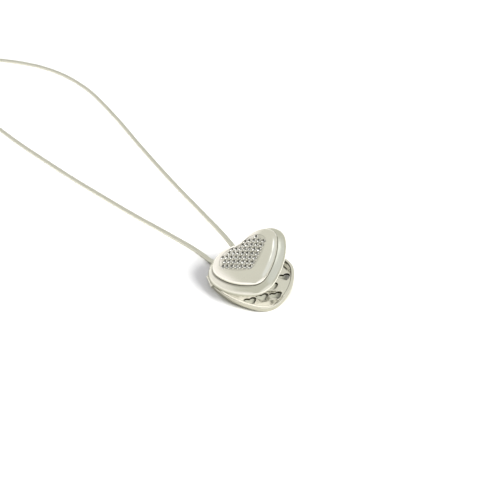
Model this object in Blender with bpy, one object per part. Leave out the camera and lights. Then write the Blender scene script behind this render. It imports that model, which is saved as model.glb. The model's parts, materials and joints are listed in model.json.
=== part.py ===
"""Heart locket pendant with a pave set cover, threaded on a snake chain necklace.

The locket lies on its back on the plane z = 0, point towards -Y, with its cover swung open on a
hinge along the left lobe.  Lengths below are millimetres; MM turns them into metres.
"""
from math import atan2, cos, hypot, pi, radians, sin, sqrt

import bmesh
import bpy
from mathutils import Matrix, Vector

MM = 0.001
COLLECTION = "heart_locket_necklace"

# ---- driving dimensions of the locket ----
HALF_WIDTH = 10.0
LOBE_OFFSET = 3.8                          # lobe centres lie this far each side of the middle
LOBE_RADIUS = HALF_WIDTH - LOBE_OFFSET
POINT_DROP = 8.9                           # from the lobe centres down to the point arc's centre
POINT_RADIUS = 4.2
LOBE_Y = (POINT_DROP + POINT_RADIUS - LOBE_RADIUS) / 2     # puts the outline's middle on y = 0
BODY = dict(offset=LOBE_OFFSET, radius=LOBE_RADIUS, cleft=2.5, drop=POINT_DROP,
            point=POINT_RADIUS, side=20.0, x=0.0, y=LOBE_Y)
RIM_TOP = 1.6
RIM_WALL = 0.8
RIM_EDGE = 0.15
PLATE_THICK = 0.5
FIT = 0.03                                 # gap between pieces that are soldered or rest together

# ---- heart shaped cut-outs of the back plate, right half and middle, as lobe centres ----
CUT_OUT = dict(offset=0.72, radius=0.73, cleft=0.3, drop=1.55, point=0.2, side=3.2)
CUT_OUTS_MIDDLE = (-3.9, -0.7, 3.2)
CUT_OUTS_RIGHT = ((3.0, -4.35), (3.35, -0.95), (7.1, 1.35), (3.6, 2.9), (6.6, 5.1), (3.2, 6.5))

# ---- cover, described as it is when closed ----
COVER_BASE = RIM_TOP + FIT
OPEN_ANGLE = radians(25.9)
CREASE_INSET = 1.65                        # where the sloping edge meets the dome
DOME_SHIFT = 0.15                          # the dome sits this far towards +X
PAVE = dict(offset=2.4, radius=3.55, cleft=1.6, drop=5.6, point=1.2, side=12.0, x=0.0, y=2.7)
CROWN_TOP = 3.22                           # dome height over the cover's base at the middle
CROWN_FALL = 0.005                         # how fast the crown drops away, per mm squared
RECESS_FLOOR = 2.6
SEAT_BOTTOM = 2.8
SEAT_TOP = 2.96
STONE_PITCH = 1.25
STONE_RADIUS = 0.47
FIRST_STONE_Y = -3.25

# ---- hinge along the left lobe ----
HINGE_X = -9.97
HINGE_Z = RIM_TOP + FIT / 2
HINGE_RELIEF = 0.37
KNUCKLE_RADIUS = 0.34
KNUCKLE_BORE = 0.17
KNUCKLE_LENGTH = 1.3
KNUCKLE_GAP = 0.06
PIN_RADIUS = 0.14

# ---- snap catch at the right lobe ----
CATCH_LENGTH = 2.2
TONGUE_X = 8.62
TONGUE_THICK = 0.3
TONGUE_FOOT_X = 9.23                       # where the tongue is soldered to the cover's edge
TONGUE_FOOT = 0.6

# ---- chain and bail ----
CHAIN_RADIUS = 0.6
BAIL_X, BAIL_Y, BAIL_Z = -4.4, 10.65, 1.0
BAIL_LENGTH = 2.6
BAIL_RADIUS = 0.95
BAIL_BORE = 0.7
COIL_X, COIL_Y = -67.0, 137.0
COIL_RADIUS = 7.2                          # at the middle of the turns
COIL_LIFT = 0.25                           # the tie passes under the coil
TURN_RISE = 1.04                           # a turn lying in the groove of the two below it
TIE_RADIUS = 0.1

# Routes of the two strands from the middle of the bail, and of the coil's tail.
LEFT_ROUTE = [
    (-4.6, 10.65, 1.0), (-5.4, 10.65, 1.0), (-6.4, 10.9, 0.95), (-7.2, 11.7, 0.8), (-7.7, 13.1, 0.65),
    (-8.4, 15.1, 0.6), (-10.5, 19.7, 0.6), (-14.9, 27.8, 0.6), (-20.5, 37.8, 0.6), (-26.3, 48.9, 0.6),
    (-32.5, 61.0, 0.6), (-39.0, 74.6, 0.6), (-44.4, 86.2, 0.6), (-48.3, 95.3, 0.6), (-51.0, 102.0, 0.68),
    (-52.6, 106.4, 1.0), (-53.2, 108.3, 1.1)]
RIGHT_ROUTE = [
    (-4.2, 10.65, 1.0), (-3.4, 10.65, 1.0), (-2.3, 10.85, 0.95), (-1.4, 11.6, 0.8), (-0.75, 12.9, 0.65),
    (-0.5, 15.0, 0.6), (-0.9, 18.6, 0.6), (-1.9, 24.4, 0.6), (-3.9, 34.0, 0.6), (-7.6, 52.1, 0.6),
    (-11.4, 73.6, 0.6), (-14.5, 93.0, 0.6), (-18.4, 112.7, 0.6), (-21.7, 123.5, 0.6), (-25.5, 132.2, 0.6),
    (-31.0, 140.9, 0.6), (-37.5, 147.9, 0.6), (-45.4, 154.0, 0.6), (-51.0, 156.2, 0.6),
    (-56.4, 154.8, 0.6), (-59.2, 150.4, 0.65), (-59.4, 144.2, 0.8)]
TAIL_ROUTE = [(-59.75, 130.9, 1.3), (-59.6, 128.5, 1.0), (-58.8, 125.6, 0.9), (-57.9, 123.6, 1.05),
              (-57.31, 121.98, 1.1)]

# ---- clasp set: everything on the line from one end cap to the other ----
CAP_A = Vector((-57.31, 121.98, 1.1))      # where the coil's tail ends inside its cap
CAP_B = Vector((-53.2, 108.3, 1.1))        # where the left strand ends inside its cap
CAP_RADIUS = 0.85
CAP_BORE = 0.65
CAP_DEPTH = 1.5
CAP_LENGTH = 2.1
EYE_RADIUS = 0.6
EYE_WIRE = 0.2
RING_RADIUS = 1.2
RING_WIRE = 0.22
RING_TILT = radians(45)
CLASP_THICK = 2.1
CLASP_WIDTH = 3.4
CLASP_HOUSE = (0.9, 4.5)                   # start and end of the housing along the clasp
HOOK_CENTRE = 6.2
HOOK_RADIUS = 1.75
HOOK_WIRE = 0.45
PIVOT = (3.9, 0.85)
TRIGGER_THICK = 0.8
TRIGGER_PIN = 0.2


# ---------------------------------------------------------------- helpers
def material(name, colour, roughness, metallic):
    mat = bpy.data.materials.new(name)
    mat.use_nodes = True
    shader = mat.node_tree.nodes["Principled BSDF"]
    shader.inputs["Base Color"].default_value = (*colour, 1.0)
    shader.inputs["Roughness"].default_value = roughness
    shader.inputs["Metallic"].default_value = metallic
    return mat


def own_material(kind, name):
    """One material per object, all of the same few kinds."""
    kinds = {"silver": ((0.80, 0.78, 0.72), 0.18, 1.0), "chain": ((0.72, 0.71, 0.64), 0.28, 1.0),
             "stone": ((0.86, 0.86, 0.84), 0.05, 0.0), "thread": ((0.85, 0.84, 0.80), 0.8, 0.0)}
    return material(name + "_" + kind, *kinds[kind])


def arc(cx, cy, radius, start, end, steps):
    """Points along an arc, without its last point."""
    return [(cx + radius * cos(start + (end - start) * i / steps),
             cy + radius * sin(start + (end - start) * i / steps)) for i in range(steps)]


def heart(offset, radius, cleft, drop, point, side, x, y, inset=0.0, steps=(2, 14, 6, 3)):
    """Heart outline from tangent arcs, clockwise from the cleft, shrunk evenly by inset."""
    cleft_y = sqrt((radius + cleft) ** 2 - offset ** 2)
    reach_lobe, reach_point = side - radius, side - point
    dx, dy = -offset, -drop
    apart = hypot(dx, dy)
    along = (reach_lobe ** 2 - reach_point ** 2 + apart ** 2) / (2 * apart)
    away = sqrt(reach_lobe ** 2 - along ** 2)
    side_x = offset + dx / apart * along + dy / apart * away
    side_y = dy / apart * along - dx / apart * away
    at_cleft = atan2(-cleft_y, offset)
    at_lobe = atan2(cleft_y, -offset)
    at_side = atan2(-side_y, offset - side_x)
    at_point = atan2(-drop - side_y, -side_x)
    half = arc(0, cleft_y, cleft + inset, -pi / 2, at_cleft, steps[0])
    half += arc(offset, 0, radius - inset, at_lobe, at_side, steps[1])
    half += arc(side_x, side_y, side - inset, at_side, at_point, steps[2])
    half += arc(0, -drop, point - inset, at_point, -pi / 2, steps[3])
    half.append((0, -drop - point + inset))
    mirrored = [(-px, py) for px, py in half[-2:0:-1]]
    return [(x + px, y + py) for px, py in half + mirrored]


def level(outline, height):
    return [(x, y, height) for x, y in outline]


def body_ring(inset, height):
    return level(heart(**BODY, inset=inset), height)


def cover_ring(inset, height):
    """Ring of the cover; rings further in lie further towards +X, up to the dome's shift."""
    moved = dict(BODY, x=DOME_SHIFT * min(1.0, inset / CREASE_INSET))
    return level(heart(**moved, inset=inset), COVER_BASE + height)


def crown(x, y):
    return COVER_BASE + CROWN_TOP - CROWN_FALL * (x * x + y * y)


def add_object(name, mesh, kind, parent=None):
    obj = bpy.data.objects.new(name, mesh)
    mesh.materials.clear()
    mesh.materials.append(own_material(kind, name))
    parts.objects.link(obj)
    if parent:
        obj.parent = parent
        obj.location = -parent.location
    return obj


def finish_mesh(bm, name, smooth_angle=radians(35)):
    bmesh.ops.recalc_face_normals(bm, faces=bm.faces)
    bmesh.ops.scale(bm, vec=(MM, MM, MM), verts=bm.verts)
    mesh = bpy.data.meshes.new(name)
    bm.to_mesh(mesh)
    bm.free()
    mesh.shade_smooth()
    mesh.set_sharp_from_angle(angle=smooth_angle)
    return mesh


def loft(name, rings, kind, closed_section=False, parent=None):
    """Solid through rings of equal count; a closed section makes a frame, else the ends are capped."""
    bm = bmesh.new()
    rows = [[bm.verts.new(p) for p in ring] for ring in rings]
    pairs = list(zip(rows, rows[1:]))
    if closed_section:
        pairs.append((rows[-1], rows[0]))
    else:
        bm.faces.new(rows[0])
        bm.faces.new(rows[-1])
    for low, high in pairs:
        for i in range(len(low)):
            j = (i + 1) % len(low)
            bm.faces.new((low[i], low[j], high[j], high[i]))
    return add_object(name, finish_mesh(bm, name), kind, parent)


def curve_object(name, splines, cyclic):
    data = bpy.data.curves.new(name, "CURVE")
    for points in splines:
        spline = data.splines.new("POLY")
        spline.points.add(len(points) - 1)
        for target, p in zip(spline.points, points):
            target.co = (p[0] * MM, p[1] * MM, (p[2] if len(p) > 2 else 0.0) * MM, 1.0)
        spline.use_cyclic_u = cyclic
    return bpy.data.objects.new(name, data)


def mesh_from_curve(obj):
    """Evaluated curve as a welded mesh; the curve is removed."""
    parts.objects.link(obj)
    bpy.context.view_layer.update()
    mesh = bpy.data.meshes.new_from_object(obj.evaluated_get(bpy.context.evaluated_depsgraph_get()))
    bm = bmesh.new()
    bm.from_mesh(mesh)
    bmesh.ops.remove_doubles(bm, verts=bm.verts, dist=1e-7)
    bmesh.ops.recalc_face_normals(bm, faces=bm.faces)
    bm.to_mesh(mesh)
    bm.free()
    data = obj.data
    bpy.data.objects.remove(obj)
    bpy.data.curves.remove(data)
    return mesh


def plate(name, outlines, low, high, kind, parent=None):
    """Flat plate between two heights; outlines after the first are holes."""
    obj = curve_object(name, outlines, cyclic=True)
    obj.data.dimensions = "2D"
    obj.data.fill_mode = "BOTH"
    obj.data.extrude = (high - low) / 2 * MM
    mesh = mesh_from_curve(obj)
    mesh.transform(Matrix.Translation((0, 0, (low + high) / 2 * MM)))
    return add_object(name, mesh, kind, parent)


def tube(name, points, radius, kind, resolution=2, parent=None):
    obj = curve_object(name, [points], cyclic=False)
    obj.data.dimensions = "3D"
    obj.data.bevel_depth = radius * MM
    obj.data.bevel_resolution = resolution
    obj.data.use_fill_caps = True
    return add_object(name, mesh_from_curve(obj), kind, parent)


def turned(name, profile, kind, steps=20, parent=None):
    """Solid of revolution about Z from (radius, height) points, run clockwise from the outer top."""
    bm = bmesh.new()
    rings = [[bm.verts.new((r * cos(2 * pi * i / steps), r * sin(2 * pi * i / steps), z))
              for i in range(steps)] for r, z in profile]
    for low, high in zip(rings, rings[1:] + rings[:1]):
        for i in range(steps):
            j = (i + 1) % steps
            bm.faces.new((low[i], low[j], high[j], high[i]))
    return add_object(name, finish_mesh(bm, name), kind, parent)


def cylinder_mesh(name, radius, depth, sides=20):
    bm = bmesh.new()
    bmesh.ops.create_cone(bm, cap_ends=True, segments=sides, radius1=radius, radius2=radius, depth=depth)
    return finish_mesh(bm, name)


def box_mesh(name, low, high, bevel=0.0):
    bm = bmesh.new()
    bmesh.ops.create_cube(bm, size=1.0)
    size = [b - a for a, b in zip(low, high)]
    middle = [(a + b) / 2 for a, b in zip(low, high)]
    bmesh.ops.scale(bm, vec=size, verts=bm.verts)
    bmesh.ops.translate(bm, vec=middle, verts=bm.verts)
    if bevel:
        bmesh.ops.bevel(bm, geom=bm.edges[:], offset=bevel, segments=2, affect="EDGES", profile=0.5)
    return finish_mesh(bm, name)


def tool(name, mesh, parent=None):
    """Cutter or joining shape, kept out of the model."""
    obj = bpy.data.objects.new(name, mesh)
    cutters.objects.link(obj)
    obj.hide_render = True
    obj.display_type = "WIRE"
    if parent:
        obj.parent = parent
        obj.location = -parent.location
    return obj


def boolean(obj, other, operation):
    mod = obj.modifiers.new(operation.lower(), "BOOLEAN")
    mod.operation = operation
    mod.solver = "EXACT"
    mod.object = other


def along_y(mesh, x, y, z):
    """Turn a mesh made along Z so that it lies along Y at a place in millimetres."""
    mesh.transform(Matrix.Translation(Vector((x, y, z)) * MM) @ Matrix.Rotation(-pi / 2, 4, "X"))
    return mesh


def smooth_route(points, step):
    """Evenly spaced points on a Catmull-Rom curve through the route's own points."""
    path = [Vector(p) for p in points]
    path = [2 * path[0] - path[1]] + path + [2 * path[-1] - path[-2]]
    fine = []
    for a, b, c, d in zip(path, path[1:], path[2:], path[3:]):
        for i in range(12):
            t = i / 12
            fine.append(0.5 * (2 * b + (c - a) * t + (2 * a - 5 * b + 4 * c - d) * t * t
                               + (3 * b - 3 * c + d - a) * t ** 3))
    fine.append(path[-2])
    length = sum((q - p).length for p, q in zip(fine, fine[1:]))
    count = max(2, round(length / step))
    even, walked, target = [fine[0]], 0.0, length / count
    for p, q in zip(fine, fine[1:]):
        piece = (q - p).length
        while walked + piece >= target - 1e-9 and len(even) < count:
            even.append(p.lerp(q, (target - walked) / piece))
            target += length / count
        walked += piece
    return even + [fine[-1]]


# ---------------------------------------------------------------- locket back
def back_rim():
    section = [(0.66, 0.0), (0.43, 0.14), (0.2, 0.36), (0.05, 0.6), (0.0, 0.9), (0.0, RIM_TOP - RIM_EDGE),
               (RIM_EDGE, RIM_TOP), (RIM_WALL - RIM_EDGE, RIM_TOP), (RIM_WALL, RIM_TOP - RIM_EDGE), (RIM_WALL, 0.0)]
    rim = loft("back_rim", [body_ring(*s) for s in section], "silver", closed_section=True)
    boolean(rim, hinge_relief("rim_relief"), "DIFFERENCE")


def back_plate():
    holes = [heart(**CUT_OUT, x=0.0, y=y, steps=(1, 5, 1, 1)) for y in CUT_OUTS_MIDDLE]
    for x, y in CUT_OUTS_RIGHT:
        holes += [heart(**CUT_OUT, x=side * x, y=y, steps=(1, 5, 1, 1)) for side in (-1, 1)]
    plate("back_plate", [heart(**BODY, inset=RIM_WALL + FIT)] + holes, 0.0, PLATE_THICK, "silver")


def hinge_relief(name, parent=None):
    length = 3 * KNUCKLE_LENGTH + 4 * KNUCKLE_GAP
    mesh = cylinder_mesh(name, HINGE_RELIEF, length, sides=24)
    return tool(name, along_y(mesh, HINGE_X, LOBE_Y, HINGE_Z), parent)


def knuckle(name, place, parent=None):
    """One hinge knuckle, soldered in the groove of its half; place counts from the middle one."""
    y = LOBE_Y + place * (KNUCKLE_LENGTH + KNUCKLE_GAP)
    obj = add_object(name, along_y(cylinder_mesh(name, KNUCKLE_RADIUS, KNUCKLE_LENGTH), HINGE_X, y, HINGE_Z),
                     "silver", parent)
    bore = along_y(cylinder_mesh(name + "_bore", KNUCKLE_BORE, 2 * KNUCKLE_LENGTH, 12), HINGE_X, y, HINGE_Z)
    boolean(obj, tool(name + "_bore", bore, parent), "DIFFERENCE")


def hinge_pin():
    length = 3 * KNUCKLE_LENGTH + 2 * KNUCKLE_GAP + 0.1
    mesh = along_y(cylinder_mesh("hinge_pin", PIN_RADIUS, length, 12), HINGE_X, LOBE_Y, HINGE_Z)
    add_object("hinge_pin", mesh, "silver")


def catch_lip():
    x = HALF_WIDTH - RIM_WALL - FIT
    half = CATCH_LENGTH / 2 - 0.2
    mesh = box_mesh("catch_lip", (x - 0.16, LOBE_Y - half, 1.0), (x - 0.02, LOBE_Y + half, 1.3), 0.04)
    add_object("catch_lip", mesh, "silver")


def bail():
    profile = [(BAIL_RADIUS, BAIL_LENGTH / 2 - 0.1), (BAIL_RADIUS, 0.1 - BAIL_LENGTH / 2),
               (BAIL_RADIUS - 0.1, -BAIL_LENGTH / 2), (BAIL_BORE, -BAIL_LENGTH / 2),
               (BAIL_BORE, BAIL_LENGTH / 2), (BAIL_RADIUS - 0.1, BAIL_LENGTH / 2)]
    obj = turned("bail_tube", profile, "silver")
    place = Matrix.Translation(Vector((BAIL_X, BAIL_Y, BAIL_Z)) * MM)
    obj.data.transform(place @ Matrix.Rotation(pi / 2, 4, "Y"))


# ---------------------------------------------------------------- cover
def cover_bezel(pivot):
    section = [(0.25, 0.0), (0.03, 0.05), (0.0, 0.25), (0.06, 0.54), (0.27, 0.86), (0.62, 1.14), (1.1, 1.4),
               (1.62, 1.62), (1.65, 1.58), (1.65, 1.2), (1.35, 0.9), (1.05, 0.64), (0.8, 0.35), (0.76, 0.12),
               (0.72, 0.0)]
    bezel = loft("cover_bezel", [cover_ring(*s) for s in section], "silver", closed_section=True, parent=pivot)
    boolean(bezel, hinge_relief("bezel_relief", pivot), "DIFFERENCE")


def cover_dome(pivot):
    pave = heart(**PAVE)
    rings = [level(pave, COVER_BASE + RECESS_FLOOR), [(x, y, crown(x, y)) for x, y in pave]]
    shoulder = [(2.65, 2.64), (2.3, 2.5), (2.05, 2.36), (1.88, 2.22), (1.76, 2.06), (1.7, 1.9), (1.68, 1.2),
                (2.3, 1.2), (2.45, 1.65), (3.2, 2.0)]
    rings += [cover_ring(*s) for s in shoulder]
    loft("cover_dome", rings, "silver", parent=pivot)


def stone_places():
    """Square lattice turned 45 degrees, kept where a whole stone fits inside the pave outline."""
    edge = heart(**PAVE, inset=0.5)
    spread = STONE_PITCH / sqrt(2)
    return [(x, y) for i in range(12) for j in range(12)
            for x, y in [((i - j) * spread, FIRST_STONE_Y + (i + j) * spread)] if inside(x, y, edge)]


def inside(x, y, outline):
    hit = False
    for (ax, ay), (bx, by) in zip(outline, outline[1:] + outline[:1]):
        if (ay > y) != (by > y) and x < ax + (y - ay) / (by - ay) * (bx - ax):
            hit = not hit
    return hit


def pave_set(pivot):
    places = stone_places()
    edge = heart(**PAVE, inset=FIT)
    holes = [arc(x, y, STONE_RADIUS + 0.05, 0, 2 * pi, 8) for x, y in places]
    plate("pave_seat", [edge] + holes, COVER_BASE + SEAT_BOTTOM, COVER_BASE + SEAT_TOP, "silver", pivot)
    web = plate("pave_stones", [edge], COVER_BASE + RECESS_FLOOR + 0.02, COVER_BASE + SEAT_BOTTOM - 0.02,
                "stone", pivot)
    bm = bmesh.new()
    for x, y in places:
        low, high = COVER_BASE + RECESS_FLOOR + 0.1, crown(x, y) + 0.06
        made = bmesh.ops.create_cone(bm, cap_ends=True, segments=8, radius1=STONE_RADIUS,
                                     radius2=STONE_RADIUS * 0.75, depth=high - low)
        bmesh.ops.translate(bm, vec=(x, y, (low + high) / 2), verts=made["verts"])
    boolean(web, tool("stones", finish_mesh(bm, "stones"), pivot), "UNION")


def catch_tongue(pivot):
    half = CATCH_LENGTH / 2
    mesh = box_mesh("catch_tongue", (TONGUE_X, LOBE_Y - half, COVER_BASE - 0.4),
                    (TONGUE_X + TONGUE_THICK, LOBE_Y + half, COVER_BASE + 0.34), 0.05)
    tongue = add_object("catch_tongue", mesh, "silver", pivot)
    foot = box_mesh("tongue_foot", (TONGUE_X + 0.1, LOBE_Y - TONGUE_FOOT, COVER_BASE + 0.08),
                    (TONGUE_FOOT_X, LOBE_Y + TONGUE_FOOT, COVER_BASE + 0.3))
    boolean(tongue, tool("tongue_foot", foot, pivot), "UNION")


# ---------------------------------------------------------------- chain and coil
def chain():
    tube("chain_left", smooth_route(LEFT_ROUTE[:6], 1.6) + smooth_route(LEFT_ROUTE[5:], 3.6)[1:],
         CHAIN_RADIUS, "chain")
    tube("chain_right", smooth_route(RIGHT_ROUTE[:6], 1.6) + smooth_route(RIGHT_ROUTE[5:], 3.6)[1:],
         CHAIN_RADIUS, "chain")
    tube("chain_tail", smooth_route(TAIL_ROUTE, 1.5), CHAIN_RADIUS, "chain")


def chain_coil():
    inner, outer = COIL_RADIUS - 2 * CHAIN_RADIUS, COIL_RADIUS + 2 * CHAIN_RADIUS
    low, high = COIL_LIFT, COIL_LIFT + 2 * CHAIN_RADIUS + TURN_RISE
    round_off = CHAIN_RADIUS
    profile = [(outer - round_off, high), (outer, high - round_off), (outer, low + 0.3), (outer - 0.3, low),
               (inner + 0.3, low), (inner, low + 0.3), (inner, high - round_off), (inner + round_off, high)]
    coil = turned("chain_coil", profile, "chain", steps=32)
    coil.data.transform(Matrix.Translation(Vector((COIL_X, COIL_Y, 0)) * MM))
    coil_tie(low, high)


def coil_tie(low, high):
    """Soft wire bound once round the coil's turns, at its far left."""
    middle, half_wide = (low + high) / 2, 2 * CHAIN_RADIUS + 0.15
    half_high = (high - low) / 2 + 0.12
    loop = []
    for i in range(16):
        angle = 2 * pi * i / 16
        squash = 1 / max(abs(cos(angle)) ** 4 + abs(sin(angle)) ** 4, 1e-9) ** 0.25
        loop.append((COIL_X - COIL_RADIUS + half_wide * squash * cos(angle), COIL_Y,
                     middle + half_high * squash * sin(angle)))
    obj = curve_object("coil_tie", [loop], cyclic=True)
    obj.data.dimensions = "3D"
    obj.data.bevel_depth = TIE_RADIUS * MM
    obj.data.bevel_resolution = 1
    add_object("coil_tie", mesh_from_curve(obj), "thread")


# ---------------------------------------------------------------- clasp set
LINE = (CAP_B - CAP_A).normalized()
TURN = atan2(LINE.y, LINE.x)
REACH = (CAP_B - CAP_A).length
CAP_END = CAP_LENGTH - CAP_DEPTH           # from the strand's end to the cap's closed face
EYE_AT = CAP_END + EYE_RADIUS - 0.1
RING_AT = EYE_AT + 0.1 + RING_RADIUS
CLASP_AT = RING_AT + RING_RADIUS


def on_line(distance, mesh, tilt=0.0):
    """Put a mesh made at the origin along X onto the clasp line, this far from the first cap."""
    place = Matrix.Translation((CAP_A + LINE * distance) * MM)
    mesh.transform(place @ Matrix.Rotation(TURN, 4, "Z") @ Matrix.Rotation(tilt, 4, "X"))
    return mesh


def end_cap(name, at, facing):
    """Sleeve crimped on a chain end, with the eye for its ring; facing is +1 towards CAP_B."""
    profile = [(CAP_RADIUS, CAP_LENGTH - 0.15), (CAP_RADIUS, 0.1), (CAP_RADIUS - 0.1, 0.0), (CAP_BORE, 0.0),
               (CAP_BORE, CAP_DEPTH + 0.05), (0.02, CAP_DEPTH + 0.05)]
    bm = bmesh.new()
    sides = 16
    rings = [[bm.verts.new((z, r * cos(2 * pi * i / sides), r * sin(2 * pi * i / sides)))
              for i in range(sides)] for r, z in profile[::-1] + [(CAP_RADIUS - 0.25, CAP_LENGTH)]]
    for low, high in zip(rings, rings[1:]):
        for i in range(sides):
            j = (i + 1) % sides
            bm.faces.new((low[i], low[j], high[j], high[i]))
    bm.faces.new(rings[0])
    bm.faces.new(rings[-1])
    bmesh.ops.translate(bm, vec=(-CAP_DEPTH, 0, 0), verts=bm.verts)
    mesh = finish_mesh(bm, name)
    loop = torus_mesh(name + "_eye", EYE_RADIUS, EYE_WIRE, 16, 8)
    loop.transform(Matrix.Translation(Vector((EYE_AT, 0, 0)) * MM) @ Matrix.Rotation(pi / 2, 4, "X"))
    if facing < 0:
        for m in (mesh, loop):
            m.transform(Matrix.Rotation(pi, 4, "Z"))
    obj = add_object(name, on_line(at, mesh), "silver")
    boolean(obj, tool(name + "_eye", on_line(at, loop)), "UNION")


def torus_mesh(name, radius, wire, around, sides):
    bm = bmesh.new()
    rows = [[bm.verts.new(((radius + wire * cos(2 * pi * k / sides)) * cos(2 * pi * i / around),
                           (radius + wire * cos(2 * pi * k / sides)) * sin(2 * pi * i / around),
                           wire * sin(2 * pi * k / sides))) for k in range(sides)] for i in range(around)]
    for a, b in zip(rows, rows[1:] + rows[:1]):
        for k in range(sides):
            n = (k + 1) % sides
            bm.faces.new((a[k], b[k], b[n], a[n]))
    return finish_mesh(bm, name)


def jump_ring(name, at):
    add_object(name, on_line(at, torus_mesh(name, RING_RADIUS, RING_WIRE, 24, 8), RING_TILT), "silver")


def clasp():
    half = CLASP_THICK / 2
    start, end = CLASP_HOUSE
    wide = CLASP_WIDTH / 2
    house = box_mesh("clasp_body", (start, -wide, -half), (end, wide, half), 0.35)
    body = add_object("clasp_body", on_line(CLASP_AT, house), "silver")
    base = cylinder_mesh("clasp_base", 1.2, 0.7, 20)
    hole = cylinder_mesh("clasp_hole", 0.75, 3.0, 16)
    hook = hook_mesh()
    slot = box_mesh("clasp_slot", (PIVOT[0] - 1.5, 0.15, -TRIGGER_THICK / 2 - 0.08), (end + 1, wide + 1,
                    TRIGGER_THICK / 2 + 0.08))
    pocket = box_mesh("clasp_pocket", (start + 0.6, -0.75, -0.45), (PIVOT[0] - 1.45, 0.75, 0.45))
    pin_hole = cylinder_mesh("clasp_pin_hole", TRIGGER_PIN + 0.03, 3.0, 12)
    pin_hole.transform(Matrix.Translation(Vector((*PIVOT, 0)) * MM))
    for name, mesh, operation in (("base", base, "UNION"), ("hook", hook, "UNION"), ("hole", hole, "DIFFERENCE"),
                                  ("slot", slot, "DIFFERENCE"), ("pocket", pocket, "DIFFERENCE"),
                                  ("pin_hole", pin_hole, "DIFFERENCE")):
        boolean(body, tool("clasp_" + name, on_line(CLASP_AT, mesh)), operation)


def hook_mesh():
    """Round hook from the housing's right corner, round the front, to its tip by the mouth."""
    points = [(CLASP_HOUSE[1] - 0.6, -1.15, 0), (CLASP_HOUSE[1] + 0.2, -1.3, 0)]
    points += [(HOOK_CENTRE + HOOK_RADIUS * cos(radians(a)), HOOK_RADIUS * sin(radians(a)), 0)
               for a in range(-120, 61, 15)]
    obj = curve_object("hook", [points], cyclic=False)
    obj.data.dimensions = "3D"
    obj.data.bevel_depth = HOOK_WIRE * MM
    obj.data.bevel_resolution = 2
    obj.data.use_fill_caps = True
    return mesh_from_curve(obj)


def trigger_parts():
    """Lever that closes the hook's mouth, on its pin, pushed shut by the spring behind it."""
    pivot = Vector((*PIVOT, 0))
    place = (CAP_A + LINE * CLASP_AT + Matrix.Rotation(TURN, 3, "Z") @ pivot) * MM
    empty = bpy.data.objects.new("trigger_pivot", None)
    parts.objects.link(empty)
    empty.location = place
    half = TRIGGER_THICK / 2
    lever = [(-0.55, 0.15), (-1.15, 0.5), (-1.3, 1.35), (-1.0, 1.75), (-0.55, 1.6), (-0.35, 0.75), (0.35, 0.62),
             (1.2, 0.95), (2.1, 1.0), (2.62, 0.62), (2.3, 0.28), (1.4, 0.22), (0.75, -0.1), (0.3, -0.5), (-0.3, -0.5)]
    trigger = plate("clasp_trigger", [lever], -half, half, "silver")
    mesh = trigger.data
    mesh.transform(Matrix.Translation(pivot * MM))
    on_line(CLASP_AT, mesh)
    trigger.parent = empty
    trigger.location = -empty.location
    bore = cylinder_mesh("trigger_bore", TRIGGER_PIN + 0.03, 3.0, 12)
    bore.transform(Matrix.Translation(pivot * MM))
    boolean(trigger, tool("trigger_bore", on_line(CLASP_AT, bore), empty), "DIFFERENCE")
    pin = cylinder_mesh("clasp_trigger_pin", TRIGGER_PIN, CLASP_THICK - 0.02, 12)
    pin.transform(Matrix.Translation(pivot * MM))
    add_object("clasp_trigger_pin", on_line(CLASP_AT, pin), "silver")
    turns, steps = 3, 10
    helix = [(CLASP_HOUSE[0] + 0.7 + 0.85 * i / (turns * steps), 0.28 * cos(2 * pi * i / steps),
              0.28 * sin(2 * pi * i / steps)) for i in range(turns * steps + 1)]
    obj = curve_object("spring", [helix], cyclic=False)
    obj.data.dimensions = "3D"
    obj.data.bevel_depth = 0.07 * MM
    obj.data.bevel_resolution = 1
    obj.data.use_fill_caps = True
    add_object("clasp_spring", on_line(CLASP_AT, mesh_from_curve(obj)), "silver")


# ---------------------------------------------------------------- build
for old in list(bpy.data.objects):
    bpy.data.objects.remove(old)
parts = bpy.data.collections.new(COLLECTION)
cutters = bpy.data.collections.new(COLLECTION + "_cutters")
for group in (parts, cutters):
    bpy.context.scene.collection.children.link(group)

back_rim()
back_plate()
knuckle("hinge_knuckle_back_lower", -1)
knuckle("hinge_knuckle_back_upper", 1)
hinge_pin()
catch_lip()
bail()

cover_pivot = bpy.data.objects.new("cover_pivot", None)
parts.objects.link(cover_pivot)
cover_pivot.location = Vector((HINGE_X, LOBE_Y, HINGE_Z)) * MM
cover_bezel(cover_pivot)
cover_dome(cover_pivot)
pave_set(cover_pivot)
knuckle("hinge_knuckle_cover", 0, cover_pivot)
catch_tongue(cover_pivot)
cover_pivot.rotation_euler = (0, -OPEN_ANGLE, 0)

chain()
chain_coil()
end_cap("end_cap_right", 0.0, 1)
jump_ring("jump_ring_right", RING_AT)
clasp()
trigger_parts()
jump_ring("jump_ring_left", REACH - RING_AT)
end_cap("end_cap_left", REACH, -1)
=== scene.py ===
import json
from math import atan2, cos, hypot, pi, radians, sin, sqrt

import bmesh
import bpy
import numpy as np
from mathutils import Matrix, Vector


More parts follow.
